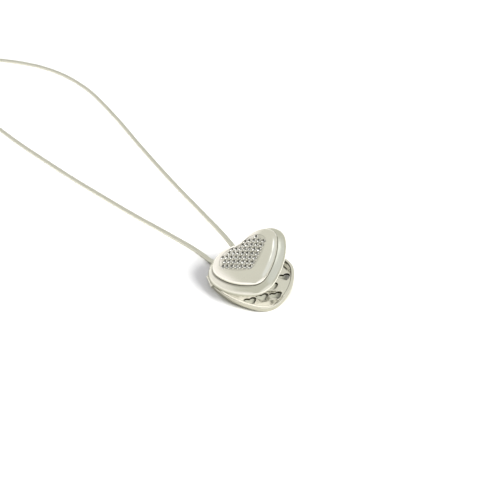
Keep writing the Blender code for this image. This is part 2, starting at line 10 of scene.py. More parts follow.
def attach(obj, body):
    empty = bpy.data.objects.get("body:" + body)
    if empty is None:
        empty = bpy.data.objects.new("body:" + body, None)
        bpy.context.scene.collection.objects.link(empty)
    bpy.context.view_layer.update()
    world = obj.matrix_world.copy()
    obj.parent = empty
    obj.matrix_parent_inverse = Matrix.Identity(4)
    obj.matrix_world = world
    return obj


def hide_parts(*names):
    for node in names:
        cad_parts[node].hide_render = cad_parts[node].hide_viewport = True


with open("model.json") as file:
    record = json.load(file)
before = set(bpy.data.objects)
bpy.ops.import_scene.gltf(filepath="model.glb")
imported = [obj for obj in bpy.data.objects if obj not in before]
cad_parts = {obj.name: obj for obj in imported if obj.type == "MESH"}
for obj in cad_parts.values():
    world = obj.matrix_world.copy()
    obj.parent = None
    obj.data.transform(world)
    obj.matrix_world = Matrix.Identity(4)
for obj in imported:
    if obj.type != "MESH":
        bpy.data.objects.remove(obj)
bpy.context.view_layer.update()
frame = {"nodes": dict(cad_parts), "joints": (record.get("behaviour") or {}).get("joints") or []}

MM = 0.001
BACK = "locket_back"
COVER = "locket_cover"
COVER_HINGE = next(j for j in frame["joints"] if j["name"] == "cover_hinge")

# ---- the locket's outlines and heights, in millimetres, as the CAD has them ----
BODY = dict(offset=3.8, radius=6.2, cleft=2.5, drop=8.9, point=4.2, side=20.0, x=0.0, y=3.45)
PAVE = dict(offset=2.4, radius=3.55, cleft=1.6, drop=5.6, point=1.2, side=12.0, x=0.0, y=2.7)
CUT_OUT = dict(offset=0.72, radius=0.73, cleft=0.3, drop=1.55, point=0.2, side=3.2)
CUT_OUTS_MIDDLE = (-3.9, -0.7, 3.2)
CUT_OUTS_RIGHT = ((3.0, -4.35), (3.35, -0.95), (7.1, 1.35), (3.6, 2.9), (6.6, 5.1), (3.2, 6.5))
RIM_TOP = 1.6
RIM_WALL = 0.8
PLATE_THICK = 0.5
FIT = 0.03
COVER_BASE = RIM_TOP + FIT
OPEN_ANGLE = radians(-COVER_HINGE["range_deg"][0])      # the lower limit closes the cover
CREASE_INSET = 1.65                         # where the cover's sloping edge meets the dome
DOME_SHIFT = 0.15                           # the dome sits this far towards +X
HINGE = Vector(COVER_HINGE["pos_m"]) / MM
HINGE_RELIEF = 0.37                         # groove for the hinge's barrel
HINGE_LENGTH = 4.14
STONE_PITCH = 1.25
STONE_STEP = STONE_PITCH / sqrt(2)          # across the turned lattice
STONE_ROWS = 12
STONE_RADIUS = 0.5                          # a little over the CAD's, to fill the drilled seat
FIRST_STONE_Y = -3.25
FINE = (8, 64, 30, 14)                      # steps along the arcs of a large outline
COARSE = (3, 16, 3, 4)                      # the same for a cut-out

# ---- sections: inset from the outline, height, and how much the corner is rounded; the cover's
# heights count from its base ----
CORNER = 0.2
CORNER_LIMIT = 0.48                         # the most of a side that a rounded corner takes
RIM_SHADE_DEPTH = 0.65                      # the rim's inner wall is shaded down to this depth
RIM_SECTION = [(0.66, 0.0, 0.5), (0.2, 0.36, 2.0), (0.0, 0.75, 1.5), (0.0, RIM_TOP, 1.0),
               (RIM_WALL, RIM_TOP, 0.8), (RIM_WALL, RIM_TOP - RIM_SHADE_DEPTH, 0),
               (RIM_WALL, RIM_TOP - 0.78, 0), (RIM_WALL, 0.0, 0)]
BEZEL_OUTER = [(0.25, 0.0, 0.5), (0.0, 0.04, 0.5), (0.0, 0.25, 0), (0.02, 0.41, 0), (0.08, 0.57, 0),
               (0.18, 0.74, 0), (0.33, 0.91, 0), (0.55, 1.09, 0), (0.83, 1.26, 0), (1.2, 1.44, 0),
               (1.48, 1.56, 0), (1.63, 1.62, 0.3)]
BEZEL_INNER = [(1.65, 1.2, 0), (1.35, 0.9, 0), (1.05, 0.64, 0), (0.78, 0.2, 0), (0.72, 0.0, 0.3)]
DOME_PROFILE = [(1.68, 1.20), (1.68, 1.69), (1.69, 1.86), (1.76, 2.06), (1.88, 2.22), (2.05, 2.36),
                (2.3, 2.50), (2.6, 2.62), (3.0, 2.74), (3.6, 2.87), (4.4, 3.00), (5.3, 3.10),
                (6.3, 3.17), (9.0, 3.22)]
DOME_RINGS = 8                              # profile points that are rings of their own
CROWN_RINGS = 8                             # rings from there to the pave
DOME_HOLLOW = [(2.3, 1.2), (2.45, 1.65), (3.2, 2.0)]
PLATE_EDGE = 0.06
MESH_SLACK = 0.02                           # how near counts as on an edge

# ---- pave: stones sunk in a drilled seat, with beads between them ----
PAVE_EASING = 10
RECESS_DEPTH = 0.35
SEAT_THICK = 0.3
SEAT_SINK = 0.04
SEAT_EDGE = 0.03
SEAT_HOLE = 0.93                            # the hole's radius, in stone radii
STONE_SINK = 0.02
BEAD_RADIUS = 0.19
BEAD_MARGIN = 0.1
# A stone's corners from its table to its culet, in stone radii: reach, height, how many, turned by.
BRILLIANT = ((0.56, 0.30, 8, 0.0), (0.82, 0.17, 8, 0.5), (1.0, 0.02, 16, 0.0), (1.0, -0.03, 16, 0.0),
             (0.45, -0.50, 8, 0.5), (0.0, -0.82, 1, 0.0))

# ---- painted shade, and the patina in the cover's seam: how dark it is, from 0 to 1, and how far it reaches ----
RIM_SHADE = 0.9
RIM_SHADE_THICK = 0.13
PLATE_FACE = 0.05                           # the plate's top stays free of painted shade down to this depth; the cut-outs' walls and the underside get it
SEAT_SHADE = 0.42
SEAT_SHADE_FROM = 0.3                       # the seat's edge stays free of painted shade up to this far in
SEAM_MIDDLE = 0.78
SEAM_FADE = 0.09                            # per millimetre to the right
SEAM_SLANT = 0.4                            # how much further left the fade starts towards the point
SEAM_RANGE = (0.12, 1.0)
SEAM_HEIGHT = 1.6                           # how high it reaches on the bezel, over the cover's base
SEAM_WIDTH = 0.08                           # and how far out from the crease
FAINT_WIDTH = 0.2                           # fainter painted shade outside it, growing towards the left lobe
FAINT_RISE = 12
FAINT_MOST = 0.6
DOME_FOOT = (1.72, 1.7)                     # inset and height that bound the painted shade and patina at the dome's foot

# ---- chain ----
CHAIN_RADIUS = 0.6
LINK_PITCH = 0.52
RIB_SWELL = (0.85, 1.0, 1.0, 1.0)           # the tube's radius along one link
TUBE_SIDES = 12
COIL_X, COIL_Y = -67.0, 137.0
COIL_RADIUS = 7.2
COIL_LIFT = 0.25
TURN_RISE = 1.04                            # a turn in the groove of the two below it
TURN_STEPS = 40
STEP_OVER_FROM = 0.8                        # share of a turn before it moves to the next
# The strands' routes from inside the bail tube, and the coil's tail, as the CAD has them.
LEFT_ROUTE = [
    (-4.6, 10.65, 1.0), (-5.4, 10.65, 1.0), (-6.4, 10.9, 0.95), (-7.2, 11.7, 0.8), (-7.7, 13.1, 0.65),
    (-8.4, 15.1, 0.6), (-10.5, 19.7, 0.6), (-14.9, 27.8, 0.6), (-20.5, 37.8, 0.6), (-26.3, 48.9, 0.6),
    (-32.5, 61.0, 0.6), (-39.0, 74.6, 0.6), (-44.4, 86.2, 0.6), (-48.3, 95.3, 0.6), (-51.0, 102.0, 0.68),
    (-52.6, 106.4, 1.0), (-53.2, 108.3, 1.1)]
RIGHT_ROUTE = [
    (-4.2, 10.65, 1.0), (-3.4, 10.65, 1.0), (-2.3, 10.85, 0.95), (-1.4, 11.6, 0.8), (-0.75, 12.9, 0.65),
    (-0.5, 15.0, 0.6), (-0.9, 18.6, 0.6), (-1.9, 24.4, 0.6), (-3.9, 34.0, 0.6), (-7.6, 52.1, 0.6),
    (-11.4, 73.6, 0.6), (-14.5, 93.0, 0.6), (-18.4, 112.7, 0.6), (-21.7, 123.5, 0.6), (-25.5, 132.2, 0.6),
    (-31.0, 140.9, 0.6), (-37.5, 147.9, 0.6), (-45.4, 154.0, 0.6), (-51.0, 156.2, 0.6),
    (-56.4, 154.8, 0.6), (-59.2, 150.4, 0.65), (-59.4, 144.2, 0.8)]
TAIL_ROUTE = [(-59.75, 130.9, 1.3), (-59.6, 128.5, 1.0), (-58.8, 125.6, 0.9), (-57.9, 123.6, 1.05),
              (-57.31, 121.98, 1.1)]

# ---- camera, as fitted to the locket's outline ----
CAMERA_DISTANCE = 0.18
CAMERA_AZIMUTH = radians(-17.86)
CAMERA_ELEVATION = radians(38.51)
CAMERA_ROLL = radians(-0.98)
CAMERA_LENS = 56.8
CAMERA_SENSOR = 36
CAMERA_SHIFT = (-0.0132, 0.0744)
CAMERA_CLIP = (0.005, 20)

# ---- lights: place in metres, size of the disk, power, colour ----
KEY = ((0.50, -0.48, 0.48), 0.42, 13.0, (1.0, 0.995, 0.98))
FILL = ((-0.1, -0.5, 0.9), 1.1, 1.2, (1.0, 1.0, 0.99))

# ---- world: what lights the table and the thread, what lies behind the table, what metal reflects ----
SKY_LIGHT = (0.50, 0.50, 0.52)
BACKDROP = (1.0, 1.0, 1.0)
ROOM = (0.735, 0.728, 0.64)
# Soft panels in the room: azimuth from +Y clockwise, elevation, full inside and gone outside these
# angles from there, colour.
PANELS = (
    (-92, -6, 17, 27, (1.13, 1.09, 1.04)),
    (-50, -2, 17, 36, (1.13, 1.09, 1.04)),
    (-20, -2, 15, 32, (1.12, 1.08, 1.03)),
    (180, 15, 25, 50, (1.10, 1.08, 1.02)),
    (85, 64, 24, 38, (0.86, 0.87, 0.83)),
    (24, 57, 3, 7, (1.50, 1.53, 1.48)),
    (18, 67, 2, 4, (1.60, 1.63, 1.56)),
)

# ---- table, in metres from the locket's middle: as seen, and as the metal reflects it ----
TABLE_HALF = 1.5
TABLE_SHADOW_UNDER = (0.46, 0.46, 0.38)            # painted shadow under the locket, seen through its cut-outs
TABLE = (0.93, 0.93, 0.925)
UNDER_TO_OPEN = (0.0072, 0.0092)            # where the first gives way to the second
TABLE_NEAR_SHADE = (0.50, 0.49, 0.42)             # reflected, beside the locket: painted shade for the metal to reflect
TABLE_FAR = (0.98, 0.96, 0.91)              # reflected, further off
NEAR_TO_FAR = (0.011, 0.035)                # the same for the reflected pair
TABLE_ROUGHNESS = 0.8
TABLE_SHINE = 0.1

# ---- looks: base colour between dark and light, roughness, size and depth of the fine marks ----
SILVER_LOOK = dict(dark=(0.83, 0.82, 0.77), light=(0.88, 0.87, 0.82), roughness=0.12, grain=5000,
                   bump=0.04)
SATIN_LOOK = dict(dark=(0.69, 0.69, 0.63), light=(0.73, 0.73, 0.67), roughness=0.2, grain=5000,
                  bump=0.04)
CHAIN_LOOK = dict(dark=(0.65, 0.65, 0.585), light=(0.72, 0.715, 0.655), roughness=0.38, grain=7000,
                  bump=0.1)
# colour of the painted shade, and of the patina in the cover's seam
SHADE_PATINA_COLOUR = (0.045, 0.04, 0.02)
CLOUD_SCALE = 240
MARKS = (0.3, 0.7)                          # the span of the fine noise that is used
POLISH = (0.8, 1.25)                        # roughness from this share of the usual to that
MARK_DEPTH = 0.00002
GEM_DARK = (0.93, 0.92, 0.90)
GEM_LIGHT = (1.0, 1.0, 0.99)
GEM_CLOUD_SCALE = 500
GEM_ROUGHNESS = 0.05
GEM_IOR = 1.65
THREAD_DARK = (0.74, 0.73, 0.69)
THREAD_LIGHT = (0.88, 0.87, 0.84)
THREAD_TWIST = 3000
THREAD_ROUGHNESS = 0.85


# ---------------------------------------------------------------- camera and lights
def make_camera():
    azimuth, elevation = CAMERA_AZIMUTH, CAMERA_ELEVATION
    back = Vector((sin(azimuth) * cos(elevation), -cos(azimuth) * cos(elevation), sin(elevation)))
    level_right = Vector((cos(azimuth), sin(azimuth), 0))
    level_up = back.cross(level_right)
    right = cos(CAMERA_ROLL) * level_right + sin(CAMERA_ROLL) * level_up
    up = cos(CAMERA_ROLL) * level_up - sin(CAMERA_ROLL) * level_right
    data = bpy.data.cameras.new("camera")
    data.lens = CAMERA_LENS
    data.sensor_width = CAMERA_SENSOR
    data.shift_x, data.shift_y = CAMERA_SHIFT
    data.clip_start, data.clip_end = CAMERA_CLIP
    camera = bpy.data.objects.new("camera", data)
    camera.matrix_world = Matrix((right, up, back)).transposed().to_4x4()
    camera.location = back * CAMERA_DISTANCE
    bpy.context.scene.collection.objects.link(camera)
    bpy.context.scene.camera = camera


def area_light(name, spot, size, power, colour):
    """Round soft light that faces the locket and isn't itself seen in the metal."""
    data = bpy.data.lights.new(name, "AREA")
    data.shape = "DISK"
    data.size = size
    data.energy = power
    data.color = colour
    light = bpy.data.objects.new(name, data)
    light.location = spot
    light.rotation_euler = Vector(spot).to_track_quat("Z", "Y").to_euler()
    light.visible_glossy = False
    bpy.context.scene.collection.objects.link(light)
    return light


def without_shadow(light, pieces):
    """Let these pieces throw no shadow from this light; the sky's soft one stays."""
    spared = bpy.data.collections.new("no_key_shadow")
    for piece in pieces:
        spared.objects.link(piece)
    light.light_linking.blocker_collection = spared
    for entry in spared.collection_objects:
        entry.light_linking.link_state = "EXCLUDE"


# ---------------------------------------------------------------- shader nodes
def mixed(tree, factor, a, b):
    """Colour between a and b, each a colour or another node's output."""
    mix = tree.nodes.new("ShaderNodeMix")
    mix.data_type = "RGBA"
    tree.links.new(factor, mix.inputs["Factor"])
    for socket, colour in (("A", a), ("B", b)):
        if isinstance(colour, tuple):
            mix.inputs[socket].default_value = (*colour, 1)
        else:
            tree.links.new(colour, mix.inputs[socket])
    return mix.outputs["Result"]


def ramp(tree, value, start, end, low=0.0, high=1.0, kind="LINEAR"):
    """Number that goes from low to high while value goes from start to end."""
    node = tree.nodes.new("ShaderNodeMapRange")
    node.interpolation_type = kind
    for socket, number in (("From Min", start), ("From Max", end), ("To Min", low), ("To Max", high)):
        node.inputs[socket].default_value = number
    tree.links.new(value, node.inputs["Value"])
    return node.outputs["Result"]


def vector_math(tree, operation, vector):
    node = tree.nodes.new("ShaderNodeVectorMath")
    node.operation = operation
    tree.links.new(vector, node.inputs[0])
    return node


def pattern(tree, kind, scale, **settings):
    """Noise or wave pattern over the piece's own coordinates."""
    node = tree.nodes.new(kind)
    node.inputs["Scale"].default_value = scale
    for socket, number in settings.items():
        node.inputs[socket].default_value = number
    coords = tree.nodes.new("ShaderNodeTexCoord")
    tree.links.new(coords.outputs["Object"], node.inputs["Vector"])
    return node.outputs["Fac"]


def new_material(name, roughness=None):
    """Material with a principled shader, its node tree and that shader."""
    mat = bpy.data.materials.new(name)
    mat.use_nodes = True
    shader = mat.node_tree.nodes["Principled BSDF"]
    if roughness is not None:
        shader.inputs["Roughness"].default_value = roughness
    return mat, mat.node_tree, shader


# ---------------------------------------------------------------- world and table
def towards(azimuth, elevation):
    """Unit vector; azimuth counts clockwise from +Y seen from above, in degrees."""
    a, e = radians(azimuth), radians(elevation)
    return (sin(a) * cos(e), cos(a) * cos(e), sin(e))


def make_world():
    """Room with soft bright panels for the metal to reflect, and plain light for everything else."""
    world = bpy.data.worlds.new("studio")
    world.use_nodes = True
    tree = world.node_tree
    tree.nodes.clear()
    out = tree.nodes.new("ShaderNodeOutputWorld")
    background = tree.nodes.new("ShaderNodeBackground")
    coords = tree.nodes.new("ShaderNodeTexCoord")
    colour = ROOM
    for azimuth, elevation, inner, outer, panel in PANELS:
        facing = vector_math(tree, "DOT_PRODUCT", coords.outputs["Generated"])
        facing.inputs[1].default_value = towards(azimuth, elevation)
        edge, full = cos(radians(outer)), cos(radians(inner))
        fade = ramp(tree, facing.outputs["Value"], edge, full, kind="SMOOTHSTEP")
        colour = mixed(tree, fade, colour, panel)
    path = tree.nodes.new("ShaderNodeLightPath")
    for ray, seen in (("Is Diffuse Ray", SKY_LIGHT), ("Is Camera Ray", BACKDROP)):
        colour = mixed(tree, path.outputs[ray], colour, seen)
    tree.links.new(colour, background.inputs["Color"])
    background.inputs["Strength"].default_value = 1.0
    tree.links.new(background.outputs[0], out.inputs["Surface"])
    bpy.context.scene.world = world


def make_floor():
    bm = bmesh.new()
    bmesh.ops.create_grid(bm, x_segments=1, y_segments=1, size=TABLE_HALF)
    mesh = bpy.data.meshes.new("floor")
    bm.to_mesh(mesh)
    bm.free()
    floor = bpy.data.objects.new("floor", mesh)
    bpy.context.scene.collection.objects.link(floor)
    mat, tree, shader = new_material("floor_white", TABLE_ROUGHNESS)
    shader.inputs["Specular IOR Level"].default_value = TABLE_SHINE
    coords = tree.nodes.new("ShaderNodeTexCoord")
    reach = vector_math(tree, "LENGTH", coords.outputs["Object"]).outputs["Value"]
    # painted shadow on the table under the locket
    seen = mixed(tree, ramp(tree, reach, *UNDER_TO_OPEN), TABLE_SHADOW_UNDER, TABLE)
    # painted shade in the table's reflection beside the locket
    reflected = mixed(tree, ramp(tree, reach, *NEAR_TO_FAR), TABLE_NEAR_SHADE, TABLE_FAR)
    path = tree.nodes.new("ShaderNodeLightPath")
    colour = mixed(tree, path.outputs["Is Glossy Ray"], seen, reflected)
    tree.links.new(colour, shader.inputs["Base Color"])
    mesh.materials.append(mat)


# ---------------------------------------------------------------- materials
def metal(name, dark, light, roughness, grain, bump):
    """Polished metal with faint cloudy discolouring, uneven polish and fine handling marks, darkened where
    the mesh carries painted shade (and, in the cover's seam, patina).
    """
    mat, tree, shader = new_material(name)
    shader.inputs["Metallic"].default_value = 1.0
    cloud = pattern(tree, "ShaderNodeTexNoise", CLOUD_SCALE, Detail=3)
    marks = pattern(tree, "ShaderNodeTexNoise", grain, Detail=4)
    # the mesh's attribute mixes in painted shade, with patina in the cover's seam
    shade_patina = tree.nodes.new("ShaderNodeAttribute")
    shade_patina.attribute_name = "paint_shade_and_patina"
    colour = mixed(tree, shade_patina.outputs["Fac"], mixed(tree, cloud, dark, light), SHADE_PATINA_COLOUR)
    polish = ramp(tree, marks, *MARKS, roughness * POLISH[0], roughness * POLISH[1])
    height = tree.nodes.new("ShaderNodeBump")
    height.inputs["Strength"].default_value = bump
    height.inputs["Distance"].default_value = MARK_DEPTH
    tree.links.new(marks, height.inputs["Height"])
    tree.links.new(colour, shader.inputs["Base Color"])
    tree.links.new(polish, shader.inputs["Roughness"])
    tree.links.new(height.outputs["Normal"], shader.inputs["Normal"])
    return mat


def gem():
    mat, tree, shader = new_material("clear_stone", GEM_ROUGHNESS)
    shader.inputs["IOR"].default_value = GEM_IOR
    shader.inputs["Transmission Weight"].default_value = 1.0
    cloud = pattern(tree, "ShaderNodeTexNoise", GEM_CLOUD_SCALE)
    tree.links.new(mixed(tree, cloud, GEM_DARK, GEM_LIGHT), shader.inputs["Base Color"])
    return mat


def thread():
    mat, tree, shader = new_material("tie_thread", THREAD_ROUGHNESS)
    twist = pattern(tree, "ShaderNodeTexWave", THREAD_TWIST)
    tree.links.new(mixed(tree, twist, THREAD_DARK, THREAD_LIGHT), shader.inputs["Base Color"])
    return mat


# ---------------------------------------------------------------- outlines
def arc(cx, cy, radius, start, end, steps):
    """Points along an arc, without its last point."""
    return [(cx + radius * cos(start + (end - start) * i / steps),
             cy + radius * sin(start + (end - start) * i / steps)) for i in range(steps)]


def heart(offset, radius, cleft, drop, point, side, x, y, inset=0.0, steps=FINE):
    """Heart outline from tangent arcs, clockwise from the cleft, shrunk evenly by inset."""
    cleft_y = sqrt((radius + cleft) ** 2 - offset ** 2)
    reach_lobe, reach_point = side - radius, side - point
    dx, dy = -offset, -drop
    apart = hypot(dx, dy)
    along = (reach_lobe ** 2 - reach_point ** 2 + apart ** 2) / (2 * apart)
    away = sqrt(reach_lobe ** 2 - along ** 2)
    side_x = offset + dx / apart * along + dy / apart * away
    side_y = dy / apart * along - dx / apart * away
    at_cleft = atan2(-cleft_y, offset)
    at_lobe = atan2(cleft_y, -offset)
    at_side = atan2(-side_y, offset - side_x)
    at_point = atan2(-drop - side_y, -side_x)
    half = arc(0, cleft_y, cleft + inset, -pi / 2, at_cleft, steps[0])
    half += arc(offset, 0, radius - inset, at_lobe, at_side, steps[1])
    half += arc(side_x, side_y, side - inset, at_side, at_point, steps[2])
    half += arc(0, -drop, point - inset, at_point, -pi / 2, steps[3])
    half.append((0, -drop - point + inset))
    mirrored = [(-px, py) for px, py in half[-2:0:-1]]
    return [(x + px, y + py) for px, py in half + mirrored]


def eased(outline, passes=24):
    """Evenly spaced copy of an outline whose curvature changes gently."""
    p = np.array(outline)
    count = len(p)
    step = np.linalg.norm(np.roll(p, -1, 0) - p, axis=1)
    walked = np.concatenate([[0], np.cumsum(step)])
    closed = np.vstack([p, p[:1]])
    even = np.linspace(0, walked[-1], count, endpoint=False)
    p = np.column_stack([np.interp(even, walked, closed[:, k]) for k in (0, 1)])
    for _ in range(passes):
        p = 0.25 * np.roll(p, 1, 0) + 0.5 * p + 0.25 * np.roll(p, -1, 0)
    return p


def body_ring(inset, height):
    p = eased(heart(**BODY, inset=inset))
    return np.column_stack([p, np.full(len(p), height)])


def pave_outline(inset=0.0):
    return eased(heart(**PAVE, inset=inset), PAVE_EASING)


def distance_to(edge, points):
    """Distance of flat points from a closed outline."""
    nxt = np.roll(edge, -1, 0)
    span = nxt - edge
    p = np.asarray(points)[:, None, :2]
    t = np.clip(((p - edge) * span).sum(2) / (span ** 2).sum(1), 0, 1)
    return np.linalg.norm(p - edge - t[..., None] * span, axis=2).min(1)


def from_outline(points):
    """Distance of flat points from the cover's outline, taken where the dome sits."""
    return distance_to(eased(heart(**dict(BODY, x=DOME_SHIFT))), points)


def from_pave(points):
    return distance_to(pave_outline(), points)


def from_body(points):
    return distance_to(eased(heart(**BODY)), points)


def smooth_route(points, step, parts=40):
    """Evenly spaced points on a Catmull-Rom curve through the route's own points."""
    path = [Vector(p) for p in points]
    path = [2 * path[0] - path[1]] + path + [2 * path[-1] - path[-2]]
    fine = []
    for a, b, c, d in zip(path, path[1:], path[2:], path[3:]):
        for i in range(parts):
            t = i / parts
            fine.append(0.5 * (2 * b + (c - a) * t + (2 * a - 5 * b + 4 * c - d) * t * t
                               + (3 * b - 3 * c + d - a) * t ** 3))
    fine = np.array([tuple(p) for p in fine + [path[-2]]])
    walked = np.concatenate([[0], np.cumsum(np.linalg.norm(np.diff(fine, axis=0), axis=1))])
    count = max(2, round(walked[-1] / step))
    even = np.linspace(0, walked[-1], count + 1)
    return np.column_stack([np.interp(even, walked, fine[:, k]) for k in range(3)])


# ---------------------------------------------------------------- mesh helpers
def add_piece(name, mesh, mat, body, replaces=(), smooth=radians(40)):
    """Visible piece that rides on a body; edges sharper than smooth stay sharp."""
    mesh.shade_smooth()
    mesh.set_sharp_from_angle(angle=smooth)
    mesh.materials.clear()
    mesh.materials.append(mat)
    obj = bpy.data.objects.new(name, mesh)
    bpy.context.scene.collection.objects.link(obj)
    if replaces:
        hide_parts(*replaces)
    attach(obj, body)
    return obj


def lofted(name, rings, closed_section=False, caps=(False, False)):
    """Mesh through rings of equal count, in millimetres, closed into a loop or capped at its ends."""
    rows = len(rings)
    count = len(rings[0])
    verts = np.vstack(rings) * MM
    faces = []
    for r in range(rows if closed_section else rows - 1):
        s = (r + 1) % rows
        for i in range(count):
            j = (i + 1) % count
            faces.append((r * count + i, r * count + j, s * count + j, s * count + i))
    if caps[0]:
        faces.append(tuple(range(count)))
    if caps[1]:
        faces.append(tuple(range((rows - 1) * count, rows * count)))
    mesh = bpy.data.meshes.new(name)
    mesh.from_pydata([tuple(v) for v in verts], [], faces)
    outward(mesh)
    return mesh


def paint_shade_and_patina(mesh, chosen, amount=1.0):
    """Paint shade into the corners of a mesh, given in millimetres, by as much as chosen says; in the cover's
    seam it also stands for patina.
    """
    co = np.empty(len(mesh.vertices) * 3)
    mesh.vertices.foreach_get("co", co)
    layer = mesh.attributes.new("paint_shade_and_patina", "FLOAT", "POINT")
    layer.data.foreach_set("value", amount * chosen(co.reshape(-1, 3) / MM).astype(float))


def outward(mesh):
    """Weld corners that coincide and turn every face outwards."""
    bm = bmesh.new()
    bm.from_mesh(mesh)
    bmesh.ops.remove_doubles(bm, verts=bm.verts, dist=1e-8)
    bmesh.ops.recalc_face_normals(bm, faces=bm.faces)
    bm.to_mesh(mesh)
    bm.free()


def opened():
    """Turns a closed cover's mesh about the hinge into the pose of the frame."""
    hinge = Matrix.Translation(HINGE * MM)
    return hinge @ Matrix.Rotation(-OPEN_ANGLE, 4, "Y") @ hinge.inverted()


def evaluated_mesh(obj):
    """What an object's curve or modifiers come to, as a mesh; the object is linked by now."""
    bpy.context.view_layer.update()
    return bpy.data.meshes.new_from_object(obj.evaluated_get(bpy.context.evaluated_depsgraph_get()))


def cut_away(kept_mesh, cutter_mesh):
    """The first mesh less the second, as a new mesh."""
    kept = bpy.data.objects.new("kept", kept_mesh)
    cutter = bpy.data.objects.new("cutter", cutter_mesh)
    for obj in (kept, cutter):
        bpy.context.scene.collection.objects.link(obj)
    cut = kept.modifiers.new("cut", "BOOLEAN")
    cut.operation = "DIFFERENCE"
    cut.object = cutter
    result = evaluated_mesh(kept)
    for obj in (kept, cutter):
        bpy.data.objects.remove(obj)
    return result


def hinge_relief(sides=64):
    """Cylinder along the hinge that clears room for its barrel."""
    radius = HINGE_RELIEF * MM
    bm = bmesh.new()
    bmesh.ops.create_cone(bm, cap_ends=True, segments=sides, radius1=radius, radius2=radius,
                          depth=HINGE_LENGTH * MM)
    mesh = bpy.data.meshes.new("hinge_relief")
    bm.to_mesh(mesh)
    bm.free()
    mesh.transform(Matrix.Translation(HINGE * MM) @ Matrix.Rotation(-pi / 2, 4, "X"))
    return mesh


def filled_outline(name, outlines, low, high, edge):
    """Plate from flat outlines, those after the first being holes, with rounded edges."""
    data = bpy.data.curves.new(name, "CURVE")
    data.dimensions = "2D"
    data.fill_mode = "BOTH"
    data.extrude = ((high - low) / 2 - edge) * MM
    data.bevel_depth = edge * MM
    data.bevel_resolution = 3
    data.offset = -edge * MM
    for points in outlines:
        spline = data.splines.new("POLY")
        spline.points.add(len(points) - 1)
        for target, p in zip(spline.points, points):
            target.co = (p[0] * MM, p[1] * MM, 0, 1)
        spline.use_cyclic_u = True
    obj = bpy.data.objects.new(name, data)
    bpy.context.scene.collection.objects.link(obj)
    mesh = evaluated_mesh(obj)
    bpy.data.objects.remove(obj)
    mesh.transform(Matrix.Translation((0, 0, (low + high) / 2 * MM)))
    outward(mesh)
    return mesh


# ---------------------------------------------------------------- locket back
def rounded(points, steps):
    """Section polygon in (inset, height), each corner rounded by as much as its third number says."""
    out = []
    for k, (x, y, amount) in enumerate(points):
        if not amount:
            out.append((x, y))
            continue
        here = Vector((x, y))
        before = Vector(points[k - 1][:2]) - here
        after = Vector(points[(k + 1) % len(points)][:2]) - here
        reach = min(CORNER * amount, before.length * CORNER_LIMIT, after.length * CORNER_LIMIT)
        a, b = here + before.normalized() * reach, here + after.normalized() * reach
        for i in range(steps + 1):
            t = i / steps
            out.append(tuple(a * (1 - t) ** 2 + here * 2 * t * (1 - t) + b * t * t))
    return out


def make_rim(silver):
    section = rounded(RIM_SECTION, 7)
    rim = lofted("rim", [body_ring(d, h) for d, h in section], closed_section=True)
    rim = cut_away(rim, hinge_relief())
    # painted shade on the upper inner wall and along the inner edge of the rim's top
    dark_above = RIM_TOP - RIM_SHADE_DEPTH - MESH_SLACK
    dark_within = RIM_WALL - RIM_SHADE_THICK
    paint_shade_and_patina(rim, lambda p: (p[:, 2] > dark_above) & (from_body(p) > dark_within), RIM_SHADE)
    add_piece("rim", rim, silver, BACK, ["back_rim"])


def make_plate(silver):
    holes = [heart(**CUT_OUT, x=0.0, y=y, steps=COARSE) for y in CUT_OUTS_MIDDLE]
    for x, y in CUT_OUTS_RIGHT:
        holes += [heart(**CUT_OUT, x=side * x, y=y, steps=COARSE) for side in (-1, 1)]
    outline = [tuple(p) for p in eased(heart(**BODY, inset=RIM_WALL + FIT))]
    plate = filled_outline("pierced_plate", [outline] + holes, 0.0, PLATE_THICK, PLATE_EDGE)
    # painted shade on the cut-outs' walls and the plate's underside
    paint_shade_and_patina(plate, lambda p: p[:, 2] < PLATE_THICK - PLATE_FACE)
    add_piece("pierced_plate", plate, silver, BACK, ["back_plate"])


# ---------------------------------------------------------------- cover
def dome_height(distance):
    """Height over the table at a distance in from the outline, with the cover closed."""
    d, h = np.array(DOME_PROFILE[1:]).T
    return COVER_BASE + np.interp(distance, d, h)


def cover_ring(inset, height):
    """Ring of the cover; rings further in lie further towards +X, up to the dome's shift."""
    moved = dict(BODY, x=DOME_SHIFT * min(1.0, inset / CREASE_INSET))
    p = eased(heart(**moved, inset=inset))
    return np.column_stack([p, np.full(len(p), COVER_BASE + height)])


def seam_dark(p):
    """Painted shade, with some patina, in the dome's seam: heavy along the left lobe, thinning out to the
    right.
    """
    return np.clip(SEAM_MIDDLE - SEAM_FADE * (p[:, 0] - SEAM_SLANT * p[:, 1]), *SEAM_RANGE)


def bezel_shade_patina(p):
    """Painted shade, with some patina, on the sloping edge: full at the seam, and a fainter band of painted
    shade outside it on the left half.
    """
    inset = from_outline(p)
    faint = (inset > CREASE_INSET - FAINT_WIDTH) * np.clip(-p[:, 0] / FAINT_RISE, 0.0, FAINT_MOST)
    band = np.where(inset > CREASE_INSET - SEAM_WIDTH, 1.0, faint)
    return seam_dark(p) * (p[:, 2] < COVER_BASE + SEAM_HEIGHT) * band


def make_bezel(satin):
    section = rounded(BEZEL_OUTER + BEZEL_INNER, 4)
    bezel = lofted("bezel", [cover_ring(*s) for s in section], closed_section=True)
    paint_shade_and_patina(bezel, bezel_shade_patina)
    bezel = cut_away(bezel, hinge_relief())
    bezel.transform(opened())
    add_piece("bezel", bezel, satin, COVER, ["cover_bezel"])


